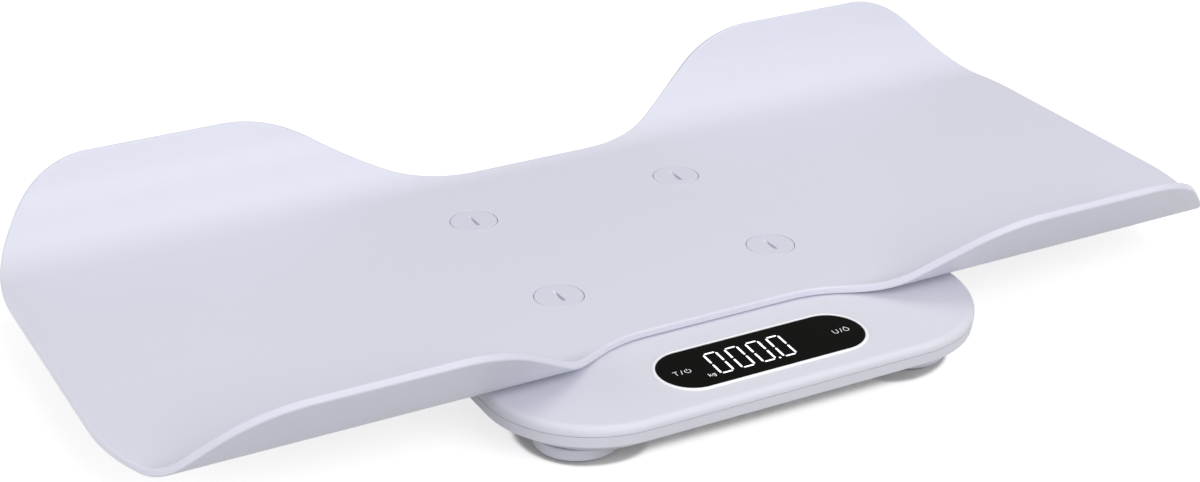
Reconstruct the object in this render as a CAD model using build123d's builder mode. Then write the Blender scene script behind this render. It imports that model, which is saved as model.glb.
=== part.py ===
from build123d import *
import os
from math import cos, radians, sin, tan

# Digital baby weighing scale: a long curved tray held by four quarter-turn fasteners
# on a low base, which stands on four load-cell feet and carries the display.
# Millimetres. X runs along the tray, Y from the display side to the back, Z up.
# The origin is on the table, under the middle of the object's overall box.

# ---------------------------------------------------------------- driving sizes
# tray: one bent skin, with its outline given by distances measured along the skin
tray_length = 604.0
tray_skin = 4.0
tray_rim_radius = 1.9
tray_floor_height = 33.5
floor_half_back = 92.5
floor_half_front = 103.4
back_bend_radius = 47.5
back_bend_angle = 67.0
front_bend_radius = 25.0
front_bend_angle = 52.5
wing_reach = 161.7
wing_notch_rise = 57.5
wing_notch_foot_x = 59.3
wing_notch_slope = 37.1
wing_notch_foot_radius = 77.0
wing_notch_top_radius = 87.0
wing_corner_cut_x = 37.5
wing_corner_cut_rise = 57.4
wing_corner_top_radius = 55.0
wing_corner_side_radius = 108.0
lip_reach = 160.1
lip_notch_rise = 59.5
lip_notch_foot_x = 63.9
lip_notch_slope = 39.8
lip_notch_foot_radius = 68.0
lip_notch_top_radius = 67.0
lip_corner_cut_x = 51.0
lip_corner_cut_rise = 59.0
lip_corner_top_radius = 57.0
lip_corner_side_radius = 92.0
skin_margin = 12.0
middle_overlap = 40.0

# quarter-turn fasteners that hold the tray on the base
fastener_x = 61.0
fastener_y = 48.5
head_radius = 12.3
head_thickness = 2.2
head_gap = 0.35
head_edge_radius = 0.35
coin_slot_length = 12.0
coin_slot_width = 1.9
coin_slot_depth = 1.5
shank_radius = 5.0
running_clearance = 0.06
clip_float = 0.12
clip_thickness = 1.0
clip_radius = 8.2
clip_mouth = 6.4
groove_depth = 1.1
lug_half_length = 9.6
lug_width = 4.8
lug_thickness = 2.5
lug_gap = 0.3
keyhole_clearance = 0.5
shelf_thickness = 2.4
socket_wall = 2.4
socket_skirt = 3.6
stop_gap = 0.4

# base housing: a top shell over a bottom cover, parted on a level seam
base_width = 262.0
base_front_reach = 165.7
base_back_reach = 112.0
base_corner_radius = 55.0
base_top_drop = 0.3
shell_wall = 2.4
apron_start = 104.0
apron_slope = 2.0
top_edge_radius = 3.4
seam_height = 22.9
seam_reveal = 0.3
seam_lap = 1.6
lap_depth = 0.9
lap_gap = 0.1
band_height = 17.0
band_inset = 0.8
belly_height = 8.0
belly_inset = 13.5
cover_wall = 2.2
cavity_rim_inset = 2.7
cavity_band_height = 18.9
cavity_band_inset = 3.2
cavity_floor_inset = 14.0
rib_thickness = 1.5
cross_rib_sites = [-80.0, -20.0, 96.0]
long_rib_x = 88.0
long_rib_reach = 98.0

# display window in the sloping apron
display_x = 2.0
display_inset = 30.6
lens_length = 110.7
lens_width = 33.5
lens_thickness = 2.0
lens_stand = 0.5
lens_gap = 0.2
lens_ledge = 2.2
lens_bevel = 0.35
bezel_width = 1.1
bezel_height = 0.6
bezel_edge_radius = 0.4
led_length = 58.0
led_width = 24.0
led_height = 6.0
led_gap = 0.1
digit_count = 4
digit_pitch = 11.4
digit_centre_x = -7.7
digit_centre_y = -0.8
digit_width = 7.2
digit_height = 17.6
segment_width = 1.3
segment_depth = 0.6
segment_gap = 0.3
board_length = 132.0
board_width = 34.0
board_thickness = 1.6
board_corner_radius = 3.0
touch_key_x = 43.8
touch_pad_radius = 4.0
connector_length = 32.0
connector_width = 12.0
connector_stand = 0.2
connector_y = 9.0
controller_size = 12.0
controller_height = 1.5
controller_x = 36.0

# load-cell feet, one under each corner of the base
foot_side_inset = 39.5
foot_end_inset = 40.5
foot_radius = 21.0
foot_top_gap = 0.7
foot_edge_radius = 1.2
pad_radius = 18.5
pad_thickness = 1.8
pad_stand = 1.4
pad_gap = 0.2
pad_edge_radius = 0.4
hub_radius = 5.5
cell_length = 30.0
cell_width = 28.0
cell_thickness = 2.0
cell_corner_radius = 3.0
tongue_width = 12.0
tongue_root = 9.0
tongue_tip = 8.0
cell_slot = 2.0
foot_opening_radius = 12.5
retainer_border = 5.0
retainer_thickness = 2.2
ear_gap = 0.3
ear_radius = 3.2

# battery bay in the bottom cover: a row of AAA cells over a sliding door
battery_count = 4
battery_radius = 5.25
battery_length = 44.5
battery_nub = 1.2
battery_nub_radius = 1.9
battery_pitch = 11.2
battery_lift = 0.1
bay_front = 12.0
bay_length = 51.4
bay_half_width = 25.3
bay_wall = 1.8
bay_height = 10.9
door_length = 52.0
door_thickness = 1.8
door_gap = 0.2
door_travel = 8.0
door_run_out = 1.8
rail_ledge = 2.7
rail_thickness = 1.1
hook_sites = [24.0, 48.0]
hook_length = 8.0
hook_reach = 2.4
hook_thickness = 1.2
hook_gap = 0.1
grip_count = 4
grip_inset = 5.2
grip_pitch = 2.6
grip_length = 20.0
grip_width = 1.2
grip_depth = 0.6
contact_thickness = 0.4
contact_size = 8.6
contact_bend_radius = 0.8
contact_gap = 0.05
button_radius = 2.6

# screws, bosses and inner leads
end_screw_x = 40.0
front_screw_y = -96.0
back_screw_inset = 28.0
side_screw_inset = 25.0
side_screw_y = -30.0
cover_screw_radius = 1.4
cover_screw_length = 11.0
cover_head_radius = 2.8
cover_head_height = 1.9
cover_head_recess = 3.0
post_height = 10.0
post_radius = 4.2
small_screw_radius = 1.05
small_screw_length = 4.4
small_head_radius = 2.2
small_head_height = 1.3
small_boss_radius = 3.2
screw_clearance = 0.04
pass_clearance = 0.3
board_screw_x = 60.0
board_screw_y = 12.0
lead_radius = 0.9
lead_gap = 0.1
back_lead_offset = 7.0
back_lead_bends = [(84.5, -4.0), (66.0, -58.0), (32.0, -84.0)]
back_lead_radii = (140.0, 80.0, 100.0, 20.0)
back_lead_plug_x = 11.0
back_lead_plug_y = -108.0
battery_lead_x = 7.0
battery_lead_bends = (-30.0, -90.0)
battery_lead_radius = 150.0

# ---------------------------------------------------------------- derived levels
tray_under = tray_floor_height - tray_skin
base_top = tray_under - base_top_drop
clip_top = tray_under - clip_float
clip_recess_floor = clip_top - clip_thickness - keyhole_clearance
shelf_under = clip_recess_floor - shelf_thickness
lug_top = shelf_under - lug_gap
keyhole_reach = lug_half_length + keyhole_clearance
socket_radius = keyhole_reach + socket_wall
inner_top = base_top - shell_wall
cover_rim = seam_height - seam_reveal
cover_inner = belly_height + cover_wall
cell_top = cover_inner + cell_thickness
foot_top = belly_height - foot_top_gap
post_top = belly_height + post_height
screw_bite = cover_screw_length + cover_head_recess - post_height
base_depth = base_front_reach + base_back_reach
base_middle = (base_back_reach - base_front_reach) / 2
lens_bottom = lens_stand - lens_thickness
board_top = lens_bottom - led_gap - led_height
board_under = board_top - board_thickness
door_top = belly_height + door_thickness
bay_back = bay_front + bay_length
bay_ceiling = door_top + battery_lift + bay_height
rail_half_width = bay_half_width - rail_ledge
door_front = bay_front + door_gap
slot_back = door_front + door_length + door_travel + door_run_out
battery_height = door_top + battery_lift + battery_radius
bay_middle = bay_front + bay_length / 2
contact_reach = (bay_length - battery_length) / 2 - contact_gap
retainer_top = cell_top + retainer_thickness
lead_height = cover_inner + lead_gap + lead_radius
display_reach = base_front_reach - display_inset
display_height = base_top - (display_reach - apron_start) * tan(radians(apron_slope))
connector_depth = display_height - cover_inner - connector_stand
connector_height = connector_depth + board_under
connector_back = (
    (connector_y + connector_width / 2) * cos(radians(apron_slope))
    + connector_depth * sin(radians(apron_slope))
    - display_reach
)

wing_angle = radians(back_bend_angle)
wing_flat = wing_reach - floor_half_back - back_bend_radius * wing_angle
rim_centre_run = (back_bend_radius + tray_skin - tray_rim_radius) * sin(wing_angle) + (
    wing_flat - tray_rim_radius
) * cos(wing_angle)
tray_back_reach = floor_half_back + rim_centre_run + tray_rim_radius
# the fastener pattern lies behind the origin by half of the base's front overhang
pattern_y = (base_front_reach - tray_back_reach) / 2

fastener_sites = {
    "front_left": (-fastener_x, -fastener_y),
    "front_right": (fastener_x, -fastener_y),
    "back_left": (-fastener_x, fastener_y),
    "back_right": (fastener_x, fastener_y),
}
foot_x = base_width / 2 - foot_side_inset
front_foot_y = foot_end_inset - base_front_reach
back_foot_y = base_back_reach - foot_end_inset
foot_sites = {
    "front_left": (-foot_x, front_foot_y),
    "front_right": (foot_x, front_foot_y),
    "back_left": (-foot_x, back_foot_y),
    "back_right": (foot_x, back_foot_y),
}
ear_reach = cell_length / 2 + ear_gap + ear_radius
ear_sites = [(x, y + end * ear_reach) for x, y in foot_sites.values() for end in (-1, 1)]
cover_screw_sites = [
    (side * x, y)
    for x, y in (
        (end_screw_x, front_screw_y),
        (base_width / 2 - side_screw_inset, side_screw_y),
        (end_screw_x, base_back_reach - back_screw_inset),
    )
    for side in (-1, 1)
]
board_screw_sites = [(x * board_screw_x, y * board_screw_y) for x in (-1, 1) for y in (-1, 1)]
battery_rows = [(i - (battery_count - 1) / 2) * battery_pitch for i in range(battery_count)]
nub_ends = [1 if i % 2 else -1 for i in range(battery_count)]
digit_sites = [
    (digit_centre_x + (i - (digit_count - 1) / 2) * digit_pitch, digit_centre_y)
    for i in range(digit_count)
]


# ---------------------------------------------------------------- planes and helpers
def level(height):
    """A horizontal plane at a height above the table, centred on the fastener pattern."""
    return Plane(origin=(0, pattern_y, height), x_dir=(1, 0, 0), z_dir=(0, 0, 1))


def spot(site, height):
    """A horizontal plane at a height, centred on one site of a pattern."""
    return Plane(origin=(site[0], pattern_y + site[1], height), x_dir=(1, 0, 0), z_dir=(0, 0, 1))


def section(x):
    """A plane across the tray at x, with its own X along the object's Y."""
    return Plane(origin=(x, pattern_y, 0), x_dir=(0, 1, 0), z_dir=(1, 0, 0))


def apron_height(y):
    """Height of the base's upper face at y, level under the tray and sloping before it."""
    return base_top + min(0.0, y + apron_start) * tan(radians(apron_slope))


def display_level(rise):
    """A plane parallel to the apron at the display, a rise above the apron's face."""
    slope = radians(apron_slope)
    origin = (display_x, pattern_y - display_reach, display_height)
    return Plane(origin=origin, x_dir=(1, 0, 0), z_dir=(0, -sin(slope), cos(slope))).offset(rise)


def pillars(plane, sites, radius, height, mode=Mode.ADD):
    """Round posts, or holes, of one radius and height at the sites of a plane."""
    with BuildSketch(plane) as discs:
        with Locations(*sites):
            Circle(radius)
    extrude(discs.sketch, amount=height, mode=mode)


def block(x_span, y_span, z_span, mode=Mode.ADD):
    """A box between two values on each axis, with X and Y from the fastener pattern."""
    centre = (sum(x_span) / 2, sum(y_span) / 2)
    with BuildSketch(level(z_span[0])) as footprint:
        with Locations(centre):
            Rectangle(x_span[1] - x_span[0], y_span[1] - y_span[0])
    extrude(footprint.sketch, amount=z_span[1] - z_span[0], mode=mode)


def base_outline(inset, mode=Mode.ADD):
    """The base's rounded outline in plan, drawn in by an inset."""
    width = base_width - 2 * inset
    depth = base_depth - 2 * inset
    with Locations((0, base_middle)):
        RectangleRounded(width, depth, base_corner_radius - inset, mode=mode)


def cut_apron(drop):
    """Cut away what stands above the apron's slope, lowered by a drop."""
    far = base_front_reach + base_corner_radius
    far_height = apron_height(-far) - drop
    with BuildSketch(section(-base_width)) as wedge:
        with BuildLine():
            Polyline(
                (-apron_start, base_top - drop),
                (-far, far_height),
                (-far, tray_floor_height),
                (-apron_start, tray_floor_height),
                close=True,
            )
        make_face()
    extrude(wedge.sketch, amount=2 * base_width, mode=Mode.SUBTRACT)


def save(piece, label):
    """Name a finished piece and write it as the node of that name."""
    piece.label = label
    export_step(piece, f"parts/{label}.step")


os.makedirs("parts", exist_ok=True)


# ---------------------------------------------------------------- tray
def tray_half(side, flat, bend_radius, bend_angle, reach, notch, corner):
    """One half of the tray, from its centre line to the top of the wing or the lip.

    The upper skin is flat, then an arc, then a straight wall. It is cut to the outline
    by a prism that leans with the bend, and thickened along its own normals, so that
    the rim stands square to the skin everywhere. The notch is its rise, the x where its
    level foot ends, its slope and its two radii. The corner is the cut along the top and
    down the end, with its two radii.
    """
    notch_rise, notch_foot_x, notch_slope, notch_foot_radius, notch_top_radius = notch
    corner_cut_x, corner_cut_rise, corner_top_radius, corner_side_radius = corner
    turn = radians(bend_angle)
    bend_end = flat + bend_radius * turn

    def skin_point(distance):
        arc = min(max(distance - flat, 0) / bend_radius, turn)
        straight = max(distance - bend_end, 0)
        along = min(distance, flat) + bend_radius * sin(arc) + straight * cos(turn)
        rise = bend_radius * (1 - cos(arc)) + straight * sin(turn)
        return side * along, tray_floor_height + rise

    with BuildLine(section(-tray_length / 2)) as bend_line:
        Line(skin_point(0), skin_point(flat))
        ThreePointArc(skin_point(flat), skin_point((flat + bend_end) / 2), skin_point(bend_end))
        Line(skin_point(bend_end), skin_point(reach + skin_margin))
    skin = Shell.extrude(Wire(bend_line.edges()), Vector(tray_length, 0, 0))

    lean = turn / 2
    cut_plane = Plane(
        origin=(0, pattern_y, tray_floor_height),
        x_dir=(1, 0, 0),
        z_dir=(0, -side * sin(lean), cos(lean)),
    )

    def outline_point(x, distance):
        along, height = skin_point(distance)
        rise = height - tray_floor_height
        return x, along * cos(lean) + side * rise * sin(lean)

    notch_reach = reach - notch_rise
    notch_top_x = notch_foot_x + notch_rise / tan(radians(notch_slope))
    past_middle = -side * middle_overlap
    with BuildPart() as outline_prism:
        with BuildSketch(cut_plane):
            with BuildLine():
                edge = FilletPolyline(
                    outline_point(0, notch_reach),
                    outline_point(notch_foot_x, notch_reach),
                    outline_point(notch_top_x, reach),
                    outline_point(tray_length / 2 - corner_cut_x, reach),
                    outline_point(tray_length / 2, reach - corner_cut_rise),
                    (tray_length / 2, past_middle),
                    radius=(
                        notch_foot_radius,
                        notch_top_radius,
                        corner_top_radius,
                        corner_side_radius,
                    ),
                )
                Polyline(edge @ 1, (0, past_middle), edge @ 0)
            make_face()
            mirror(about=Plane.YZ)
        extrude(amount=wing_reach, both=True)
    trimmed = Shell(skin.intersect(outline_prism.part).faces())
    return Solid.thicken(trimmed, -side * tray_skin)


wing_notch = (
    wing_notch_rise,
    wing_notch_foot_x,
    wing_notch_slope,
    wing_notch_foot_radius,
    wing_notch_top_radius,
)
wing_corner = (
    wing_corner_cut_x,
    wing_corner_cut_rise,
    wing_corner_top_radius,
    wing_corner_side_radius,
)
lip_notch = (
    lip_notch_rise,
    lip_notch_foot_x,
    lip_notch_slope,
    lip_notch_foot_radius,
    lip_notch_top_radius,
)
lip_corner = (
    lip_corner_cut_x,
    lip_corner_cut_rise,
    lip_corner_top_radius,
    lip_corner_side_radius,
)
with BuildPart() as tray:
    add(
        tray_half(
            1,
            floor_half_back,
            back_bend_radius,
            back_bend_angle,
            wing_reach,
            wing_notch,
            wing_corner,
        )
    )
    add(
        tray_half(
            -1,
            floor_half_front,
            front_bend_radius,
            front_bend_angle,
            lip_reach,
            lip_notch,
            lip_corner,
        )
    )

    # the rim is rounded on both sides; its faces are the strips as wide as the skin
    rim_faces = tray.faces().filter_by(
        lambda f: f.area < 2 * tray_skin * max(e.length for e in f.edges())
    )
    skin_faces = tray.faces() - rim_faces
    fillet(rim_faces.edges() & skin_faces.edges(), radius=tray_rim_radius)

    holes = list(fastener_sites.values())
    pillars(level(tray_floor_height), holes, head_radius + head_gap, -head_thickness, Mode.SUBTRACT)
    pillars(
        level(tray_floor_height), holes, shank_radius + running_clearance, -tray_skin, Mode.SUBTRACT
    )
save(tray.part, "tray")


# ---------------------------------------------------------------- tray fasteners
# Each is a flush head with a coin slot, a shank through the tray, a groove for its
# retaining clip, and a cross bar whose two lugs pass the base's keyhole and lock by a
# quarter turn under its shelf. They are drawn unlocked, with slot and bar along Y.
coin_radius = (coin_slot_length**2 / 4 + coin_slot_depth**2) / (2 * coin_slot_depth)
for name, site in fastener_sites.items():
    with BuildPart() as fastener:
        pillars(spot(site, tray_floor_height), [(0, 0)], head_radius, -head_thickness)
        fillet(fastener.edges().group_by(Axis.Z)[-1], radius=head_edge_radius)
        shank_length = tray_floor_height - lug_top
        pillars(spot(site, tray_floor_height), [(0, 0)], shank_radius, -shank_length)
        with BuildSketch(spot(site, lug_top)):
            Circle(shank_radius)
            Rectangle(lug_width, 2 * lug_half_length)
            Circle(lug_half_length, mode=Mode.INTERSECT)
        extrude(amount=-lug_thickness)
        with BuildSketch(spot(site, clip_top)):
            Circle(shank_radius)
            Circle(shank_radius - groove_depth, mode=Mode.SUBTRACT)
        extrude(amount=-clip_thickness, mode=Mode.SUBTRACT)
        coin_plane = section(site[0]).offset(-coin_slot_width / 2)
        coin_height = tray_floor_height + coin_radius - coin_slot_depth
        with BuildSketch(coin_plane):
            with Locations((site[1], coin_height)):
                Circle(coin_radius)
        extrude(amount=coin_slot_width, mode=Mode.SUBTRACT)
    save(fastener.part, f"tray_fastener_{name}")

    with BuildPart() as clip:
        with BuildSketch(spot(site, clip_top)):
            Circle(clip_radius)
            Circle(shank_radius - groove_depth + screw_clearance, mode=Mode.SUBTRACT)
            with Locations((clip_radius / 2, 0)):
                Rectangle(clip_radius, clip_mouth, mode=Mode.SUBTRACT)
        extrude(amount=-clip_thickness)
    save(clip.part, f"fastener_clip_{name}")


# ---------------------------------------------------------------- base top shell
with BuildPart() as shell_cavity:
    with BuildSketch(level(seam_height)):
        base_outline(shell_wall)
    extrude(amount=inner_top - seam_height)
    cut_apron(shell_wall)

with BuildPart() as base_top_shell:
    with BuildSketch(level(seam_height)):
        base_outline(0)
    extrude(amount=base_top - seam_height)
    cut_apron(0)
    upper_faces = base_top_shell.faces().filter_by(lambda f: f.normal_at().Z > 0.9)
    kink_y = pattern_y - apron_start
    rim_edges = upper_faces.edges().filter_by(
        lambda e: abs(e.center().Y - kink_y) > 0.1 or abs(e.center().X) > 1
    )
    fillet(rim_edges, radius=top_edge_radius)
    add(shell_cavity.part, mode=Mode.SUBTRACT)

    # tongue that laps inside the bottom cover's rim
    with BuildSketch(level(seam_height)):
        base_outline(seam_lap + lap_gap)
        base_outline(shell_wall, mode=Mode.SUBTRACT)
    extrude(amount=-lap_depth)

    # stiffening ribs under the top, which end inside the outer wall
    with BuildSketch(level(seam_height)):
        with Locations(*[(0, y) for y in cross_rib_sites]):
            Rectangle(base_width, rib_thickness)
        with Locations((-long_rib_x, 0), (long_rib_x, 0)):
            Rectangle(rib_thickness, 2 * long_rib_reach)
        base_outline(shell_wall / 2, mode=Mode.INTERSECT)
    extrude(amount=inner_top - seam_height)

    # keyhole sockets: a seat ring for the tray, a shelf, a skirt and two turn stops
    holes = list(fastener_sites.values())
    pillars(level(shelf_under), holes, socket_radius, tray_under - shelf_under)
    pillars(level(shelf_under), holes, socket_radius, -socket_skirt)
    pillars(level(clip_recess_floor), holes, keyhole_reach, tray_under - clip_recess_floor,
            Mode.SUBTRACT)
    pillars(level(shelf_under), holes, keyhole_reach, -socket_skirt, Mode.SUBTRACT)
    with BuildSketch(level(clip_recess_floor)):
        with Locations(*holes):
            Circle(shank_radius + keyhole_clearance)
            Rectangle(lug_width + 2 * keyhole_clearance, 2 * keyhole_reach)
    extrude(amount=-shelf_thickness, mode=Mode.SUBTRACT)
    stop_inset = lug_width / 2 + stop_gap
    for site in holes:
        with BuildSketch(spot(site, shelf_under)):
            for turn in (1, -1):
                with Locations((turn * (stop_inset + socket_radius / 2),) * 2):
                    Rectangle(socket_radius, socket_radius)
            Circle(keyhole_reach + socket_wall / 2, mode=Mode.INTERSECT)
            Circle(shank_radius + keyhole_clearance, mode=Mode.SUBTRACT)
        extrude(amount=-socket_skirt)

    # bosses for the cover screws and for the board's screws
    pillars(level(post_top), cover_screw_sites, post_radius, inner_top - post_top)
    pillars(level(post_top), cover_screw_sites, cover_screw_radius + screw_clearance,
            screw_bite + pass_clearance, Mode.SUBTRACT)
    boss_height = -shell_wall / 2 - board_top
    pillars(display_level(board_top), board_screw_sites, small_boss_radius, boss_height)
    pillars(display_level(board_top), board_screw_sites, small_screw_radius + screw_clearance,
            small_screw_length, Mode.SUBTRACT)

    # raised bezel, seat and window of the display lens
    with BuildSketch(display_level(0)):
        border = 2 * (lens_gap + bezel_width)
        SlotOverall(lens_length + border, lens_width + border)
    extrude(amount=bezel_height)
    bezel_edges = base_top_shell.edges().filter_by(
        lambda e: abs(display_level(bezel_height).to_local_coords(e.center()).Z) < 0.01
    )
    fillet(bezel_edges, radius=bezel_edge_radius)
    with BuildSketch(display_level(lens_bottom)):
        SlotOverall(lens_length + 2 * lens_gap, lens_width + 2 * lens_gap)
    extrude(amount=lens_thickness + bezel_height, mode=Mode.SUBTRACT)
    with BuildSketch(display_level(lens_bottom)):
        SlotOverall(lens_length - 2 * lens_ledge, lens_width - 2 * lens_ledge)
    extrude(amount=-shell_wall, mode=Mode.SUBTRACT)
save(base_top_shell.part, "base_top_shell")


# ---------------------------------------------------------------- base bottom cover
with BuildPart() as cover_cavity:
    with BuildSketch(level(seam_height)):
        base_outline(cavity_rim_inset)
    with BuildSketch(level(cavity_band_height)):
        base_outline(cavity_band_inset)
    loft(ruled=True)
    with BuildSketch(level(cavity_band_height)):
        base_outline(cavity_band_inset)
    with BuildSketch(level(cover_inner)):
        base_outline(cavity_floor_inset)
    loft(ruled=True)
    with BuildSketch(level(seam_height)):
        base_outline(seam_lap)
    extrude(amount=-lap_depth - lap_gap)

with BuildPart() as base_bottom_cover:
    with BuildSketch(level(cover_rim)):
        base_outline(0)
    with BuildSketch(level(band_height)):
        base_outline(band_inset)
    loft(ruled=True)
    with BuildSketch(level(band_height)):
        base_outline(band_inset)
    with BuildSketch(level(belly_height)):
        base_outline(belly_inset)
    loft(ruled=True)
    add(cover_cavity.part, mode=Mode.SUBTRACT)

    # openings over the feet, with posts for the load cells' retainers
    pillars(level(belly_height), list(foot_sites.values()), foot_opening_radius, cover_wall,
            Mode.SUBTRACT)
    pillars(level(cover_inner), ear_sites, ear_radius, cell_thickness)
    pillars(level(cell_top), ear_sites, small_screw_radius + screw_clearance,
            retainer_thickness - small_screw_length - pass_clearance, Mode.SUBTRACT)

    # posts for the screws that close the base
    pillars(level(belly_height), cover_screw_sites, post_radius, post_height)
    pillars(level(belly_height), cover_screw_sites, cover_screw_radius + pass_clearance,
            post_height, Mode.SUBTRACT)
    pillars(level(belly_height), cover_screw_sites, cover_head_radius + pass_clearance,
            cover_head_recess, Mode.SUBTRACT)

    # battery bay, its door opening with rails, and the run-out the door slides into
    outer_half = bay_half_width + bay_wall
    bay_span = (bay_front - bay_wall, bay_back + bay_wall)
    block((-outer_half, outer_half), bay_span, (cover_inner, bay_ceiling + bay_wall))
    run_out_roof = door_top + hook_gap + bay_wall
    block((-outer_half, outer_half), (bay_back, slot_back + bay_wall), (cover_inner, run_out_roof))
    rail_top = belly_height + rail_thickness
    bay_inside = (bay_front, bay_back)
    block((-bay_half_width, bay_half_width), bay_inside, (rail_top, bay_ceiling), Mode.SUBTRACT)
    block((-rail_half_width, rail_half_width), (bay_front, slot_back),
          (belly_height, door_top + hook_gap), Mode.SUBTRACT)
    for hook_y in hook_sites:
        notch_middle = hook_y + door_travel
        notch_half = hook_length / 2 + pass_clearance
        block((-bay_half_width, bay_half_width), (notch_middle - notch_half,
              notch_middle + notch_half), (belly_height, rail_top), Mode.SUBTRACT)
save(base_bottom_cover.part, "base_bottom_cover")


# ---------------------------------------------------------------- battery door
with BuildPart() as battery_door:
    door_half = rail_half_width - door_gap
    door_span = (door_front, door_front + door_length)
    block((-door_half, door_half), door_span, (belly_height, door_top))
    hook_bottom = belly_height + rail_thickness + hook_gap
    for hook_y in hook_sites:
        hook_span = (hook_y - hook_length / 2, hook_y + hook_length / 2)
        for end in (-1, 1):
            x_span = sorted((end * (door_half - bay_wall), end * (door_half + hook_reach)))
            block(x_span, hook_span, (hook_bottom, door_top))
            hook_x = sorted((end * (door_half - hook_gap), end * (door_half + hook_reach)))
            block(hook_x, hook_span, (hook_bottom, hook_bottom + hook_thickness))
    for i in range(grip_count):
        grip_y = door_span[1] - grip_inset - i * grip_pitch
        block((-grip_length / 2, grip_length / 2), (grip_y - grip_width / 2,
              grip_y + grip_width / 2), (belly_height, belly_height + grip_depth), Mode.SUBTRACT)
save(battery_door.part, "battery_door")


# ---------------------------------------------------------------- load-cell feet
for name, site in foot_sites.items():
    with BuildPart() as foot:
        pillars(spot(site, pad_stand), [(0, 0)], foot_radius, foot_top - pad_stand)
        fillet(foot.edges(), radius=foot_edge_radius)
        pillars(spot(site, foot_top), [(0, 0)], hub_radius, cover_inner - foot_top)
        pillars(spot(site, pad_stand), [(0, 0)], pad_radius + pad_gap,
                pad_thickness - pad_stand, Mode.SUBTRACT)
        pillars(spot(site, cover_inner), [(0, 0)], small_screw_radius + screw_clearance,
                cell_thickness - small_screw_length - pass_clearance, Mode.SUBTRACT)
    save(foot.part, f"foot_{name}")

    with BuildPart() as pad:
        pillars(spot(site, 0), [(0, 0)], pad_radius, pad_thickness)
        fillet(pad.edges().group_by(Axis.Z)[0], radius=pad_edge_radius)
    save(pad.part, f"foot_pad_{name}")

    # a steel plate whose tongue, cut free by a U slot, carries the foot and bends
    with BuildPart() as load_cell:
        with BuildSketch(spot(site, cover_inner)):
            RectangleRounded(cell_width, cell_length, cell_corner_radius)
            slot_length = tongue_root + tongue_tip + cell_slot
            with Locations((0, slot_length / 2 - tongue_root)):
                Rectangle(tongue_width + 2 * cell_slot, slot_length, mode=Mode.SUBTRACT)
            with Locations((0, (tongue_tip - tongue_root) / 2)):
                Rectangle(tongue_width, tongue_root + tongue_tip)
            Circle(small_screw_radius + pass_clearance, mode=Mode.SUBTRACT)
        extrude(amount=cell_thickness)
    save(load_cell.part, f"load_cell_{name}")

    with BuildPart() as retainer:
        with BuildSketch(spot(site, cell_top)):
            RectangleRounded(cell_width, cell_length, cell_corner_radius)
            with Locations((0, ear_reach), (0, -ear_reach)):
                Circle(ear_radius)
            Rectangle(2 * ear_radius, 2 * ear_reach)
            Rectangle(cell_width - 2 * retainer_border, cell_length - 2 * retainer_border,
                      mode=Mode.SUBTRACT)
            with Locations((0, ear_reach), (0, -ear_reach)):
                Circle(small_screw_radius + pass_clearance, mode=Mode.SUBTRACT)
        extrude(amount=retainer_thickness)
    save(retainer.part, f"cell_retainer_{name}")


# ---------------------------------------------------------------- display
with BuildPart() as display_lens:
    with BuildSketch(display_level(lens_bottom)):
        SlotOverall(lens_length, lens_width)
    extrude(amount=lens_thickness)
    lens_rim = display_lens.faces().sort_by(Axis.Z)[-1].edges()
    chamfer(lens_rim, length=lens_bevel)
save(display_lens.part, "display_lens")

with BuildPart() as led_display:
    with BuildSketch(display_level(board_top)):
        Rectangle(led_length, led_width)
    extrude(amount=led_height)
    bar_x = (digit_width - segment_width) / 2
    bar_y = (digit_height - segment_width) / 2
    bar_length = digit_width - 2 * segment_width - segment_gap
    post_length = bar_y - segment_width - segment_gap
    with BuildSketch(display_level(board_top + led_height)):
        with Locations(*digit_sites):
            with Locations((0, bar_y), (0, 0), (0, -bar_y)):
                Rectangle(bar_length, segment_width)
            with Locations(*[(x * bar_x, y * bar_y / 2) for x in (-1, 1) for y in (-1, 1)]):
                Rectangle(segment_width, post_length)
    extrude(amount=-segment_depth, mode=Mode.SUBTRACT)
save(led_display.part, "led_display")

with BuildPart() as main_board:
    with BuildSketch(display_level(board_under)):
        RectangleRounded(board_length, board_width, board_corner_radius)
        with Locations(*board_screw_sites):
            Circle(small_screw_radius + pass_clearance, mode=Mode.SUBTRACT)
    extrude(amount=board_thickness)
    with BuildSketch(display_level(board_under)):
        with Locations((0, connector_y)):
            Rectangle(connector_length, connector_width)
    extrude(amount=-connector_height)
    with BuildSketch(display_level(board_under)):
        with Locations((-controller_x, 0), (controller_x, 0)):
            Rectangle(controller_size, controller_size)
    extrude(amount=-controller_height)
save(main_board.part, "main_board")

with BuildPart() as touch_key_pads:
    key_sites = [(-touch_key_x, 0), (touch_key_x, 0)]
    pillars(display_level(board_top), key_sites, touch_pad_radius, lens_bottom - board_top)
save(touch_key_pads.part, "touch_key_pads")


# ---------------------------------------------------------------- batteries and contacts
def cell_plane(row, distance):
    """A plane across one battery, a distance along Y from the middle of the bay."""
    origin = (row, pattern_y + bay_middle + distance, battery_height)
    return Plane(origin=origin, x_dir=(1, 0, 0), z_dir=(0, 1, 0))


with BuildPart() as batteries:
    for row, nub_end in zip(battery_rows, nub_ends):
        flat_end = cell_plane(row, -nub_end * battery_length / 2)
        pillars(flat_end, [(0, 0)], battery_radius, nub_end * (battery_length - battery_nub))
        pillars(flat_end, [(0, 0)], battery_nub_radius, nub_end * battery_length)
save(batteries.part, "batteries")

with BuildPart() as battery_plates:
    for row, nub_end in zip(battery_rows, nub_ends):
        wall = cell_plane(row, nub_end * bay_length / 2)
        with BuildSketch(wall):
            Rectangle(contact_size, contact_size)
        extrude(amount=-nub_end * contact_thickness)
        pillars(wall, [(0, 0)], button_radius, -nub_end * contact_reach)
save(battery_plates.part, "battery_plates")

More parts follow.
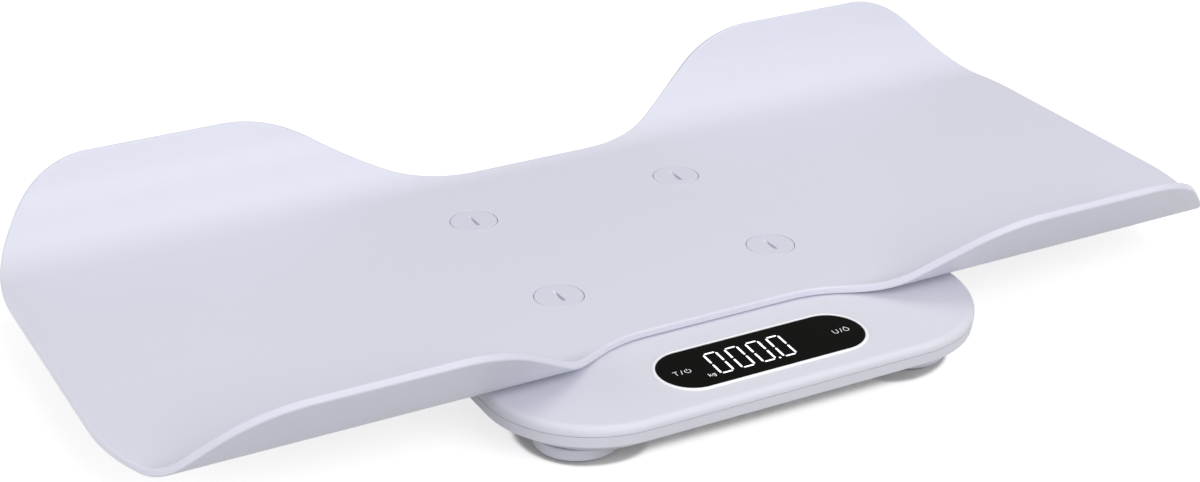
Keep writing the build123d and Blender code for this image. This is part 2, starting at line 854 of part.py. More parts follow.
with BuildPart() as battery_springs:
    for row, nub_end in zip(battery_rows, nub_ends):
        wall_y = bay_middle - nub_end * bay_length / 2
        tip_y = wall_y + nub_end * (contact_reach - contact_thickness / 2)
        foot_y = wall_y + nub_end * contact_thickness / 2
        with BuildSketch(section(row - contact_size / 2)):
            with BuildLine():
                FilletPolyline(
                    (foot_y, battery_height - contact_size / 2),
                    (tip_y, battery_height),
                    (foot_y, battery_height + contact_size / 2),
                    radius=contact_bend_radius,
                )
            trace(line_width=contact_thickness)
        extrude(amount=contact_size)
save(battery_springs.part, "battery_springs")


# ---------------------------------------------------------------- screws
def screws(plane, sites, radius, length, head_radius_above, head_height):
    """Round-headed screws: heads on the plane, shanks running back through it."""
    pillars(plane, sites, head_radius_above, head_height)
    pillars(plane, sites, radius, -length)


with BuildPart() as cover_screws:
    head_seat = Plane(
        origin=(0, pattern_y, belly_height + cover_head_recess), x_dir=(1, 0, 0), z_dir=(0, 0, -1)
    )
    mirrored_sites = [(x, -y) for x, y in cover_screw_sites]
    screws(head_seat, mirrored_sites, cover_screw_radius, cover_screw_length,
           cover_head_radius, cover_head_height)
save(cover_screws.part, "cover_screws")

with BuildPart() as foot_screws:
    screws(level(cell_top), list(foot_sites.values()), small_screw_radius, small_screw_length,
           small_head_radius, small_head_height)
save(foot_screws.part, "foot_screws")

with BuildPart() as retainer_screws:
    screws(level(retainer_top), ear_sites, small_screw_radius, small_screw_length,
           small_head_radius, small_head_height)
save(retainer_screws.part, "retainer_screws")

with BuildPart() as board_screws:
    pillars(display_level(board_under), board_screw_sites, small_head_radius, -small_head_height)
    pillars(display_level(board_under), board_screw_sites, small_screw_radius, small_screw_length)
save(board_screws.part, "board_screws")


# ---------------------------------------------------------------- inner leads
def eased(points, radii):
    """The radii of a lead's bends, eased where two bends would outgrow the run between them.

    A bend takes its radius times the tangent of half its turn from the runs on both sides.
    """
    corners = [Vector(*point) for point in points]
    runs = [end - start for start, end in zip(corners, corners[1:])]
    turns = [radians(before.get_angle(after)) for before, after in zip(runs, runs[1:])]
    taken = [0.0, *(radius * tan(turn / 2) for radius, turn in zip(radii, turns)), 0.0]
    spans = [run.length - lead_radius for run in runs]
    shares = [span / max(span, sum(taken[i : i + 2])) for i, span in enumerate(spans)]
    return [radius * min(shares[i : i + 2]) for i, radius in enumerate(radii)]


def lead(points, radii):
    """A round lead lying on the cover's floor, along straight runs joined by arcs."""
    with BuildPart() as tube:
        with BuildLine(level(lead_height)) as path:
            FilletPolyline(*points, radius=eased(points, radii))
        with BuildSketch(Plane(origin=path.line @ 0, z_dir=path.line % 0)):
            Circle(lead_radius)
        sweep(path=path.line)
    return tube.part


for name, side in (("left", -1), ("right", 1)):
    back_lead_run = [(side * (foot_x - back_lead_offset), back_foot_y - cell_length / 2)]
    back_lead_run += [(side * x, y) for x, y in back_lead_bends]
    plug_x = display_x + side * back_lead_plug_x
    back_lead_run += [(plug_x, back_lead_plug_y), (plug_x, connector_back)]
    save(lead(back_lead_run, back_lead_radii), f"lead_back_{name}")

    cell_side = foot_x - cell_width / 2
    plug_side = connector_length / 2 + side * display_x
    start_plane = Plane(
        origin=(side * cell_side, pattern_y + connector_y - display_reach, lead_height),
        z_dir=(-side, 0, 0),
    )
    with BuildPart() as front_lead:
        pillars(start_plane, [(0, 0)], lead_radius, cell_side - plug_side)
    save(front_lead.part, f"lead_front_{name}")

battery_lead_run = [
    (battery_lead_x, bay_front - bay_wall),
    (battery_lead_x, battery_lead_bends[0]),
    (display_x, battery_lead_bends[1]),
    (display_x, connector_back),
]
save(lead(battery_lead_run, [battery_lead_radius] * 2), "battery_lead")
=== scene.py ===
# %% [markdown]
# # A baby weighing scale
# The scale comes in as a fixed frame of CAD solids: a long bent tray, a flat base, a display
# and four feet. This file keeps the solids whose form is right and gives them real finishes.
# It rebuilds the tray, whose rim catches the light, and adds what the solids leave out: a bead
# round the window, painted lighter than the housing as a painted highlight, and the display's
# lit figures and printed marks. Everything is in metres, with the table at height zero.
# Lengths named in millimetres are turned by MM.

# %% Load the frame
import math

import bpy
import numpy as np
from mathutils import Matrix, Vector


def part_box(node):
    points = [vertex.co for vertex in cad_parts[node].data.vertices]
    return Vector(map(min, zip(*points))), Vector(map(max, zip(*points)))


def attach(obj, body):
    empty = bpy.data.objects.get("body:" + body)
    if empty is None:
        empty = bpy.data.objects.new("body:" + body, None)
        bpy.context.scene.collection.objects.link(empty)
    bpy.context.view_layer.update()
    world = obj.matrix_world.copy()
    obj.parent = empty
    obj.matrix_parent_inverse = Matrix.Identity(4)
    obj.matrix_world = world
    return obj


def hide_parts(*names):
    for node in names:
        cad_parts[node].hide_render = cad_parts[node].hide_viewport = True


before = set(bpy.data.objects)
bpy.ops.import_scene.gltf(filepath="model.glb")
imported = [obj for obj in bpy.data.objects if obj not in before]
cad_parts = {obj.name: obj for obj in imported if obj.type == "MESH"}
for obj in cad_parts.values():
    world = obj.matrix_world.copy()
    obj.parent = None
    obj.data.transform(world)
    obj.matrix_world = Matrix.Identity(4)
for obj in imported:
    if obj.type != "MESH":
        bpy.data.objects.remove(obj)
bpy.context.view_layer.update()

MM = 0.001

# %% [markdown]
# ## Places to measure from
# The tray's four fasteners make a level rectangle, and the CAD drawing counts from its
# middle. So do the shapes below. The display lies on a face that slopes down to the front
# by two degrees, so it gets a little frame of its own: across, up the slope and outwards.
# Both places could be typed in, but read from the solids they are sure to fit them.

# %% The fastener pattern and the display's own frame
near_low, near_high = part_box("tray_fastener_front_left")
far_low, far_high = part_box("tray_fastener_back_right")
pattern_y = (near_low.y + near_high.y + far_low.y + far_high.y) / 4
tray_floor = near_high.z
lens_low, lens_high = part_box("display_lens")
slope = math.radians(2.0)
slope_up = np.array([0.0, math.cos(slope), math.sin(slope)])
slope_out = np.array([0.0, -math.sin(slope), math.cos(slope)])
lens_thickness = 2.0
lens_top = np.array((lens_low + lens_high) / 2) + slope_out * lens_thickness / 2 * MM
print("pattern at", round(pattern_y, 5), "lens face at", np.round(lens_top, 5))

# %% [markdown]
# ## From arrays to a mesh
# A shape can be pulled out of a cube by hand, or worked out as whole arrays of points. The
# second way is used here, because its sizes are exact and its rule can be read. A grid of
# points becomes quads by joining each point to its three neighbours. A closed loop carried
# along a profile does the same, but its last row joins its first.


# %% Grids to faces, arrays to objects
def grid_quads(rows, columns, close_rows=False, first=0, flip=False):
    """Quads of a grid whose point (r, c) has the number first + r * columns + c.

    Each quad joins (r, c), (r, c + 1), (r + 1, c + 1) and (r + 1, c). Where the rows close,
    the row after the last one is the first.
    """
    r = np.arange(rows if close_rows else rows - 1)[:, None]
    c = np.arange(columns - 1)[None, :]
    below = (r + 1) % rows
    quads = np.stack([r * columns + c, r * columns + c + 1,
                      below * columns + c + 1, below * columns + c], axis=-1)
    quads = quads.reshape(-1, 4) + first
    return quads[:, ::-1] if flip else quads


def make_piece(name, points, faces, material, body, smooth=True):
    """A mesh object from an (n, 3) array of points and a list of faces, riding on a body."""
    mesh = bpy.data.meshes.new(name)
    mesh.from_pydata(np.asarray(points).tolist(), [], [list(map(int, f)) for f in faces])
    mesh.polygons.foreach_set("use_smooth", [smooth] * len(mesh.polygons))
    mesh.update()
    mesh.validate()
    mesh.materials.append(material)
    piece = bpy.data.objects.new(name, mesh)
    bpy.context.scene.collection.objects.link(piece)
    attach(piece, body)
    print(name, len(mesh.polygons), "faces")
    return piece


# %% [markdown]
# ## Colour and nodes
# Paint charts and screens give colours as sRGB hex values, and the shader wants linear light.
# One could type the linear numbers, but nobody can picture a colour from them, so a function
# turns the one into the other. A second one adds a node, sets its values and links its
# inputs, so that a material reads as a short list.


# %% Hex to linear, and one way to add a node
def linear(hex_code):
    """Linear red, green, blue and alpha of an sRGB hex code.

    Each channel c becomes c / 12.92 where it is very dark, and otherwise
    ((c + 0.055) / 1.055) to the power 2.4.
    """
    c = np.array([int(hex_code[i:i + 2], 16) for i in (1, 3, 5)]) / 255
    c = np.where(c <= 0.04045, c / 12.92, ((c + 0.055) / 1.055) ** 2.4)
    return (*c.tolist(), 1.0)


def add_node(material, kind, values=None, links=None, **settings):
    """A new node of a kind in a material, with its settings, socket values and links."""
    node = material.node_tree.nodes.new(kind)
    for key, value in settings.items():
        setattr(node, key, value)
    for socket, value in (values or {}).items():
        node.inputs[socket].default_value = value
    for socket, source in (links or {}).items():
        material.node_tree.links.new(source, node.inputs[socket])
    return node


def new_material(name):
    """An empty node material and its output node."""
    material = bpy.data.materials.new(name)
    material.use_nodes = True
    material.node_tree.nodes.clear()
    return material, add_node(material, "ShaderNodeOutputMaterial")


# %% [markdown]
# ## Moulded plastic
# The tray, the base and the feet are ABS, injection moulded. The tool is spark eroded, which
# leaves a fine even grain of about a fifth of a millimetre, so the gloss is broken to satin.
# A slow drift in the gloss, a hand's breadth across, comes from how the melt filled the tool.
# The grain is too fine to show from a metre away, so it is drawn about four times as coarse.
# An image texture could give both. A noise on the piece's own coordinates needs no file and
# has no seam, and serves the nylon retainers and the rubber pads as well.


# %% A satin moulded plastic
melt_drift_mm, melt_tint, melt_gloss = 90.0, 0.015, 0.04
moulded_ior, grain_strength = 1.52, 0.25


def moulded(name, colour, roughness, grain_mm, grain_depth_mm):
    """An injection moulded plastic: a colour with slight drift, a grain and an uneven gloss.

    Colour is the body colour less up to 1.5 per cent of it, by a slow noise. Roughness is its
    base value plus or minus 0.04, by the same noise. Height for the bump is a fine noise.
    """
    material, output = new_material(name)
    place = add_node(material, "ShaderNodeTexCoord")
    drift = add_node(material, "ShaderNodeTexNoise",
                     {"Scale": 1 / (melt_drift_mm * MM), "Detail": 2.0},
                     {"Vector": place.outputs["Object"]})
    dark = [v * (1 - melt_tint) for v in linear(colour)[:3]] + [1.0]
    tint = add_node(material, "ShaderNodeMix", {"A": dark, "B": linear(colour)},
                    {"Factor": drift.outputs["Fac"]}, data_type="RGBA")
    gloss = add_node(material, "ShaderNodeMapRange",
                     {"To Min": roughness - melt_gloss, "To Max": roughness + melt_gloss},
                     {"Value": drift.outputs["Fac"]})
    grain = add_node(material, "ShaderNodeTexNoise",
                     {"Scale": 1 / (grain_mm * MM), "Detail": 3.0},
                     {"Vector": place.outputs["Object"]})
    bump = add_node(material, "ShaderNodeBump",
                    {"Strength": grain_strength, "Distance": grain_depth_mm * MM},
                    {"Height": grain.outputs["Fac"]})
    shader = add_node(material, "ShaderNodeBsdfPrincipled",
                      {"IOR": moulded_ior, "Metallic": 0.0},
                      {"Base Color": tint.outputs["Result"], "Roughness": gloss.outputs["Result"],
                       "Normal": bump.outputs["Normal"]})
    material.node_tree.links.new(shader.outputs["BSDF"], output.inputs["Surface"])
    return material


# satin ABS: a broad soft highlight that follows the bends
tray_abs = moulded("ABS_moulded_satin_tray", "#DDDEEB", 0.42, 0.8, 0.02)
# a duller satin, so the flat base stays quiet under the tray
housing_abs = moulded("ABS_moulded_satin_housing", "#DDDEE8", 0.52, 0.7, 0.015)
# a finer tool surface: the heads stand out by a slightly clearer highlight
fastener_abs = moulded("ABS_moulded_fine_fastener", "#DADBE8", 0.36, 0.6, 0.012)
# a deeper grain, and a greyer white that is painted shade for the feet's place under the base
foot_painted_shade_abs = moulded("ABS_moulded_matt_foot_painted_shade", "#D6D7E2", 0.5, 0.8, 0.03)
# black nylon: dark, even and half dull
retainer_nylon = moulded("nylon_moulded_black_retainer", "#1B1B1D", 0.45, 0.6, 0.02)
# rubber: no clear highlight at all, and a coarse soft surface
pad_rubber = moulded("rubber_moulded_matt_grey", "#6B6C72", 0.85, 1.2, 0.05)
print("moulded:", tray_abs.name, housing_abs.name, fastener_abs.name, foot_painted_shade_abs.name)

# %% [markdown]
# ## The display's black window
# The window is clear acrylic, printed black on its back, with a coat against reflections. So
# it looks a deep even black that mirrors next to nothing. Behind it the LED block is black
# resin. Its segments glow a cold white, and the key marks are a white print lit from behind.
# It could be see-through, with the block lit behind it. An opaque black face with the light
# laid on it looks the same and renders without noise.


# %% Acrylic, resin, lit segments and printed marks
acrylic_ior = 1.49


def plain_gloss(name, colour, roughness, ior, drift_share=0.02, drift_mm=12.0, coat=0.0,
                specular=0.5):
    """A smooth surface: one colour, and a roughness that drifts by a share either way."""
    material, output = new_material(name)
    place = add_node(material, "ShaderNodeTexCoord")
    drift = add_node(material, "ShaderNodeTexNoise",
                     {"Scale": 1 / (drift_mm * MM), "Detail": 3.0},
                     {"Vector": place.outputs["Object"]})
    gloss = add_node(material, "ShaderNodeMapRange",
                     {"To Min": roughness - drift_share, "To Max": roughness + drift_share},
                     {"Value": drift.outputs["Fac"]})
    values = {"Base Color": linear(colour), "IOR": ior, "Coat Weight": coat,
              "Specular IOR Level": specular}
    shader = add_node(material, "ShaderNodeBsdfPrincipled", values,
                      {"Roughness": gloss.outputs["Result"]})
    material.node_tree.links.new(shader.outputs["BSDF"], output.inputs["Surface"])
    return material


def lit_print(name, colour, strength, fleck_mm=1.5, smoothest=0.3, roughest=0.45):
    """A white print or segment lit from behind: its colour, and a glow of the same colour.

    Roughness runs from the smoothest to the roughest value by a fine noise, as ink does.
    """
    material, output = new_material(name)
    place = add_node(material, "ShaderNodeTexCoord")
    fleck = add_node(material, "ShaderNodeTexNoise",
                     {"Scale": 1 / (fleck_mm * MM), "Detail": 2.0},
                     {"Vector": place.outputs["Object"]})
    gloss = add_node(material, "ShaderNodeMapRange",
                     {"To Min": smoothest, "To Max": roughest},
                     {"Value": fleck.outputs["Fac"]})
    shader = add_node(material, "ShaderNodeBsdfPrincipled",
                      {"Base Color": linear(colour), "Emission Color": linear(colour),
                       "Emission Strength": strength, "IOR": acrylic_ior},
                      {"Roughness": gloss.outputs["Result"]})
    material.node_tree.links.new(shader.outputs["BSDF"], output.inputs["Surface"])
    return material


# polished acrylic over black print: deep, even, and almost without a mirror image
window_acrylic = plain_gloss("acrylic_polished_back_printed_black", "#080806", 0.08,
                             acrylic_ior, 0.015, specular=0.04)
# lit segments: a cold white, bright enough to lead the eye
segment_light = lit_print("LED_segment_cold_white", "#F4F7FF", 0.8)
# a print with less light behind it: a greyer white beside the figures
mark_print = lit_print("screen_print_white_backlit", "#E9EBF2", 0.3)
# potting resin: dull black with a faint sheen
resin_black = plain_gloss("epoxy_resin_potted_black", "#121214", 0.45, 1.52)
print("display:", window_acrylic.name, segment_light.name, mark_print.name, resin_black.name)

# %% [markdown]
# ## Metals and the rest inside
# Screws are zinc plated steel, the contacts nickel plated spring strip, and the load cells a
# stamped steel plate. Rolling and stamping leave fine lines along the strip. A shader with
# stretched highlights could stand for them, but on pieces this small a noise stretched along
# one way is simpler and enough. The board, the cells' jackets and the leads are smooth.


# %% Plated steel, board, battery jacket, lead sheath
line_stretch, line_gloss, line_depth_mm, line_strength = 10.0, 0.1, 0.01, 0.2


def rolled_metal(name, colour, roughness, line_mm):
    """Plated strip: metal whose roughness follows a noise stretched ten times along Y."""
    material, output = new_material(name)
    place = add_node(material, "ShaderNodeTexCoord")
    stretch = add_node(material, "ShaderNodeMapping", {"Scale": (1.0, 1 / line_stretch, 1.0)},
                       {"Vector": place.outputs["Object"]})
    lines = add_node(material, "ShaderNodeTexNoise",
                     {"Scale": 1 / (line_mm * MM), "Detail": 4.0},
                     {"Vector": stretch.outputs["Vector"]})
    gloss = add_node(material, "ShaderNodeMapRange",
                     {"To Min": roughness - line_gloss, "To Max": roughness + line_gloss},
                     {"Value": lines.outputs["Fac"]})
    bump = add_node(material, "ShaderNodeBump",
                    {"Strength": line_strength, "Distance": line_depth_mm * MM},
                    {"Height": lines.outputs["Fac"]})
    shader = add_node(material, "ShaderNodeBsdfPrincipled",
                      {"Base Color": linear(colour), "Metallic": 1.0},
                      {"Roughness": gloss.outputs["Result"], "Normal": bump.outputs["Normal"]})
    material.node_tree.links.new(shader.outputs["BSDF"], output.inputs["Surface"])
    return material


# zinc: a bluish grey with a soft gleam
screw_zinc = rolled_metal("steel_zinc_plated_screw", "#B9BCC2", 0.35, 0.5)
# nickel: brighter, smoother and a little warm
contact_nickel = rolled_metal("spring_steel_nickel_plated", "#C9C6BE", 0.28, 0.4)
# bare stamped steel: the darkest of the metals
cell_steel = rolled_metal("steel_stamped_load_cell", "#A9ABAF", 0.32, 0.6)
# brass foil: yellow, with fine lines
pad_brass = rolled_metal("brass_foil_rolled", "#C9A063", 0.3, 0.4)
# solder resist: a green lacquer over the board
board_green = plain_gloss("glass_epoxy_board_solder_resist", "#1F5A34", 0.32, 1.55)
# shrink sleeve: dark and glossy, with a clear coat on top
battery_jacket = plain_gloss("shrink_sleeve_glossy_graphite", "#2E3136", 0.25, 1.5, coat=0.3)
# extruded PVC: black and half dull
lead_sheath = plain_gloss("PVC_extruded_lead_sheath", "#1A1A1C", 0.5, 1.53)
print("inside:", screw_zinc.name, contact_nickel.name, cell_steel.name, pad_brass.name)

# %% [markdown]
# ## Finishes on the solids that stay
# Most solids already have the right form, so only their finish changes. The frame gives each
# node its body. Materials could be given one by one, but a table shows at a glance what is
# made of what, and a node that it forgets stops the script.

# %% A finish for every node
corners = ["front_left", "front_right", "back_left", "back_right"]
finish_of = {
    "base_top_shell": housing_abs, "base_bottom_cover": housing_abs, "battery_door": housing_abs,
    "display_lens": window_acrylic, "led_display": resin_black, "main_board": board_green,
    "touch_key_pads": pad_brass, "board_screws": screw_zinc, "cover_screws": screw_zinc,
    "foot_screws": screw_zinc, "retainer_screws": screw_zinc, "batteries": battery_jacket,
    "battery_springs": contact_nickel, "battery_plates": contact_nickel,
    "battery_lead": lead_sheath, "tray": tray_abs,
}
for corner in corners:
    finish_of[f"tray_fastener_{corner}"] = fastener_abs
    finish_of[f"fastener_clip_{corner}"] = contact_nickel
    finish_of[f"foot_{corner}"] = foot_painted_shade_abs
    finish_of[f"foot_pad_{corner}"] = pad_rubber
    finish_of[f"load_cell_{corner}"] = cell_steel
    finish_of[f"cell_retainer_{corner}"] = retainer_nylon
    finish_of[f"lead_{corner}"] = lead_sheath
for name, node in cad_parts.items():
    node.data.materials.clear()
    node.data.materials.append(finish_of[name])
print(len(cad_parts), "nodes finished")

# %% [markdown]
# ## The tray's line
# Across its middle the tray is flat. Towards the back it bends up through a wide arc into a
# straight wing, and towards the front through a tighter arc into a lip. Distances are
# counted along the upper skin, as on the flat sheet, so a bend is worked out once and any
# outline can be wrapped on it. A modifier could bend a flat plate too, but only a formula
# gives each arc its own radius and place.

# %% The bend, from distance along the skin to a place, a height and an angle
half_length = 302.0
back = dict(flat=92.5, radius=47.5, angle=math.radians(67.0), reach=161.7,
            notch_rise=57.5, notch_foot_x=59.3, notch_slope=math.radians(37.1),
            corner_cut_x=37.5, corner_cut_rise=57.4, radii=(77.0, 87.0, 55.0, 108.0))
front = dict(flat=103.4, radius=25.0, angle=math.radians(52.5), reach=160.1,
             notch_rise=59.5, notch_foot_x=63.9, notch_slope=math.radians(39.8),
             corner_cut_x=51.0, corner_cut_rise=59.0, radii=(68.0, 67.0, 57.0, 92.0))


def bend(distance, half):
    """Place across the tray, height over the floor and skin angle at distances on one half.

    The angle grows from nought to its full value over the arc. Along the arc the place is the
    flat plus radius times the sine of the angle, and the height is radius times one less its
    cosine. Past the arc both go on along the angle.
    """
    arc = np.clip((distance - half["flat"]) / half["radius"], 0, half["angle"])
    past = np.maximum(distance - half["flat"] - half["radius"] * half["angle"], 0)
    across = np.minimum(distance, half["flat"]) + half["radius"] * np.sin(arc)
    across = across + past * math.cos(half["angle"])
    height = half["radius"] * (1 - np.cos(arc)) + past * math.sin(half["angle"])
    return across, height, arc


def skin(x, distance, rise):
    """Points of the tray at x, a signed distance along the skin and a rise off the skin.

    The back half takes positive distances and the front half negative ones. The rise goes
    along the skin's own normal, which leans inwards by the skin angle.
    """
    spots = [bend(np.abs(distance), half) for half in (back, front)]
    is_back = distance >= 0
    across, height, angle = (np.where(is_back, b, f) for b, f in zip(*spots))
    side = np.where(is_back, 1.0, -1.0)
    y = side * (across - rise * np.sin(angle))
    z = height + rise * np.cos(angle)
    return np.stack([x * MM, pattern_y + y * MM, tray_floor + z * MM], axis=-1)


for label, half in (("wing", back), ("lip", front)):
    print(label, "top is", round(float(bend(half["reach"], half)[1]), 1), "mm over the floor")

# %% [markdown]
# ## The tray's outline
# The mould's edge is a line of straight runs joined by arcs: a scallop at the middle, a rise
# to the wing, its top, and a cut corner. It could be traced as a free curve, but arcs of
# known radius meet the solid's own edge. That edge was cut square to the half-way lean of
# each bend, so the line is drawn in that view and then laid back on the skin.


# %% Straight runs joined by arcs
def rounded_line(corner_points, radii, steps=60):
    """Points along straight runs joined by tangent arcs.

    An arc of radius r at a corner that turns by t starts r times tan(t / 2) before it. Its
    points swing about its centre from one tangent point to the other.
    """
    corner_points = np.array(corner_points, float)
    pieces = [corner_points[:1]]
    for before, corner, after, radius in zip(corner_points, corner_points[1:],
                                             corner_points[2:], radii):
        way_in = (corner - before) / np.linalg.norm(corner - before)
        way_out = (after - corner) / np.linalg.norm(after - corner)
        turn = math.atan2(way_in[0] * way_out[1] - way_in[1] * way_out[0], way_in @ way_out)
        start = corner - way_in * radius * math.tan(abs(turn) / 2)
        swing = np.linspace(0, turn, steps)[:, None]
        side_way = np.sign(turn) * np.array([-way_in[1], way_in[0]])
        pieces.append(start + radius * (side_way * (1 - np.cos(swing))
                                        + way_in * np.sin(np.abs(swing))))
    pieces.append(corner_points[-1:])
    return np.concatenate(pieces)


# %% Both halves' outlines
def half_outline(half):
    """The outline of one half on the right side: x, and distance along the skin, in mm.

    A point at a distance is seen at its place times the cosine of the lean plus its height
    times the sine. A table of that, read backwards, gives the distances of the drawn line.
    """
    lean = half["angle"] / 2

    def seen(distance):
        across, height, _ = bend(np.asarray(distance, float), half)
        return across * math.cos(lean) + height * math.sin(lean)

    reach, foot_x = half["reach"], half["notch_foot_x"]
    notch = reach - half["notch_rise"]
    top_x = foot_x + half["notch_rise"] / math.tan(half["notch_slope"])
    line = rounded_line(
        [(0, seen(notch)), (foot_x, seen(notch)), (top_x, seen(reach)),
         (half_length - half["corner_cut_x"], seen(reach)),
         (half_length, seen(reach - half["corner_cut_rise"])), (half_length, 0)],
        half["radii"])
    past_end, table_size = 5.0, 2000
    table = np.linspace(0, reach + past_end, table_size)
    line[:, 1] = np.interp(line[:, 1], seen(table), table)
    return line[:-1]


outline_of = {name: half_outline(half) for name, half in (("back", back), ("front", front))}
print("outline points", {name: len(line) for name, line in outline_of.items()})

# %% [markdown]
# ## The tray's skin with a softened rim
# A slab with sharp edges looks like cut card. The moulded rim is flat between two small round
# edges, and shows as a crisp bright band. So the outline is drawn in by half the skin's
# thickness, the area inside it is gridded, and the grid's edge is carried outwards, round
# both edges and back under, which makes one closed surface. It stays a hair inside the
# solid's own rim, and its columns stand closer near the ends, where the outline turns. Two
# modifiers could thicken and bevel a sheet, but not with a rim of an exact width.


# %% Draw the outline in and read it at every column
skin_thickness = 4.0
rim, rim_edge, rim_setback = skin_thickness / 2, 1.1, 0.74
columns_half, crowding = 130, 1.8


def drawn_in(line, inset):
    """The line moved inwards by an inset, with the outward direction at each of its points.

    The way along is the difference of a point's neighbours, made one long. Turned a quarter
    to the left it points outwards, and each point moves back along that by the inset.
    """
    along = np.gradient(line, axis=0)
    along /= np.linalg.norm(along, axis=1)[:, None]
    outward = np.stack([-along[:, 1], along[:, 0]], axis=1)
    outward[0], outward[-1] = (0, 1), (1, 0)
    return line - inset * outward, outward


share = np.linspace(0, 1, columns_half + 1)
right_x = (half_length - rim_setback - rim) * (1 - (1 - share) ** crowding)
column_x = np.concatenate([-right_x[:0:-1], right_x])
edge = {}
for name, line in outline_of.items():
    inner, outward = drawn_in(line, rim + rim_setback)
    order = np.argsort(inner[:, 0])
    across = np.interp(np.abs(column_x), inner[order, 0], inner[order, 1])
    out_x = np.interp(np.abs(column_x), inner[order, 0], outward[order, 0]) * np.sign(column_x)
    out_s = np.interp(np.abs(column_x), inner[order, 0], outward[order, 1])
    length = np.hypot(out_x, out_s)
    edge[name] = (across, out_x / length, out_s / length)
print(len(column_x), "columns")

# %% Grid the area inside: an even strip in the middle, and rows that fan out to the edge
middle, fan_count, strip_count = 45.0, 44, 13
front_rows = np.linspace(1, 0, fan_count)[:-1]
back_rows = np.linspace(0, 1, fan_count)[1:]
flat_rows = np.linspace(-1, 1, strip_count)
front_reach, back_reach = edge["front"][0], edge["back"][0]
rows = np.concatenate([
    -(middle + front_rows[:, None] * (front_reach - middle)[None, :]),
    flat_rows[:, None] * middle * np.ones_like(column_x)[None, :],
    middle + back_rows[:, None] * (back_reach - middle)[None, :]])
row_count, column_count = rows.shape
grid_x = np.broadcast_to(column_x, rows.shape)
print(row_count, "rows")

# %% The grid's edge as one loop, anticlockwise from above, with the outward direction
number = np.arange(rows.size).reshape(rows.shape)
loop = np.concatenate([number[0, :-1], number[:-1, -1], number[-1, :0:-1], number[:0:-1, 0]])
out = np.zeros((*rows.shape, 2))
out[:, -1] = (1, 0)
out[:, 0] = (-1, 0)
out[0] = np.stack([edge["front"][1], -edge["front"][2]], axis=-1)
out[-1] = np.stack([edge["back"][1], edge["back"][2]], axis=-1)
loop_x, loop_s = grid_x.ravel()[loop], rows.ravel()[loop]
loop_out = out.reshape(-1, 2)[loop]
print(len(loop), "points round the edge")

# %% Across the rim: out along the upper skin, round one edge, down, and round the other
edge_steps = 9
swing = np.linspace(0, math.pi / 2, edge_steps)
edge_out = rim - rim_edge * (1 - np.sin(swing))
edge_drop = rim_edge * (1 - np.cos(swing))
rim_out = np.concatenate([edge_out, edge_out[::-1]])
rim_drop = np.concatenate([edge_drop, skin_thickness - edge_drop[::-1]])
rim_x = loop_x[:, None] + rim_out * loop_out[:, :1]
rim_s = loop_s[:, None] + rim_out * loop_out[:, 1:]
rim_rise = np.broadcast_to(-rim_drop, rim_x.shape)
print("rim", rim_drop.max(), "mm thick, with edges of", rim_edge, "mm")

# %% Both skins and the rim as one closed piece, in the tray's place
upper = skin(grid_x, rows, np.zeros_like(rows)).reshape(-1, 3)
lower = skin(grid_x, rows, np.full_like(rows, -skin_thickness)).reshape(-1, 3)
rim_points = skin(rim_x, rim_s, rim_rise).reshape(-1, 3)
points = np.concatenate([upper, lower, rim_points])

ring = np.arange(rim_points.shape[0]).reshape(rim_x.shape) + 2 * rows.size
band = np.concatenate([loop[:, None], ring, loop[:, None] + rows.size], axis=1)
following = np.roll(band, -1, axis=0)
rim_quads = np.stack([band[:, :-1], band[:, 1:], following[:, 1:], following[:, :-1]],
                     axis=-1).reshape(-1, 4)
faces = np.concatenate([
    grid_quads(row_count, column_count),
    grid_quads(row_count, column_count, first=rows.size, flip=True), rim_quads])
tray_skin = make_piece("tray_skin", points, faces, tray_abs, "tray")
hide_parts("tray")

# %% [markdown]
# ## The tray's stepped holes
# Each fastener sits in a stepped hole: a wide recess for its flush head and a close bore for
# its shank. The skin's grid could be built round them, but each row would then have to bend.
# Instead a turned cutter with that profile, and a small flare at its top for the moulded
# edge, is taken away from the finished skin four times.

# %% Turn the cutter's profile and set it at the four holes
fastener_x, fastener_y = 61.0, 48.5
fastener_sites = [(sx * fastener_x, sy * fastener_y) for sx in (-1, 1) for sy in (-1, 1)]
bore, recess, recess_floor = 5.06, 12.65, -2.2
cutter_bottom, cutter_top = -6.0, 0.3
flare = [(recess, -0.12), (recess + 0.05, -0.03), (recess + 0.13, 0.0),
         (recess + 0.25, cutter_top)]
cutter_profile = np.array([(0, cutter_bottom), (bore, cutter_bottom), (bore, recess_floor),
                           (recess, recess_floor), *flare, (0, cutter_top)])
turn_count = 96
around = np.linspace(0, 2 * math.pi, turn_count, endpoint=False)
inside = cutter_profile[1:-1]
turned = np.stack([inside[None, :, 0] * np.cos(around)[:, None],
                   inside[None, :, 0] * np.sin(around)[:, None],
                   np.broadcast_to(inside[None, :, 1], (turn_count, len(inside)))], axis=-1)
cutter_points, cutter_faces = [], []
for site_x, site_y in fastener_sites:
    first = sum(len(p) for p in cutter_points)
    centre = np.array([site_x, site_y, 0])
    cutter_points.append(turned.reshape(-1, 3) + centre)
    bottom = first + np.arange(turn_count) * len(inside)
    cutter_faces += grid_quads(turn_count, len(inside), close_rows=True, first=first).tolist()
    cutter_faces.append(bottom[::-1].tolist())
    cutter_faces.append((bottom + len(inside) - 1).tolist())
cutter_points = np.concatenate(cutter_points) * MM + np.array([0, pattern_y, tray_floor])
print(len(fastener_sites), "holes,", len(cutter_faces), "cutter faces")

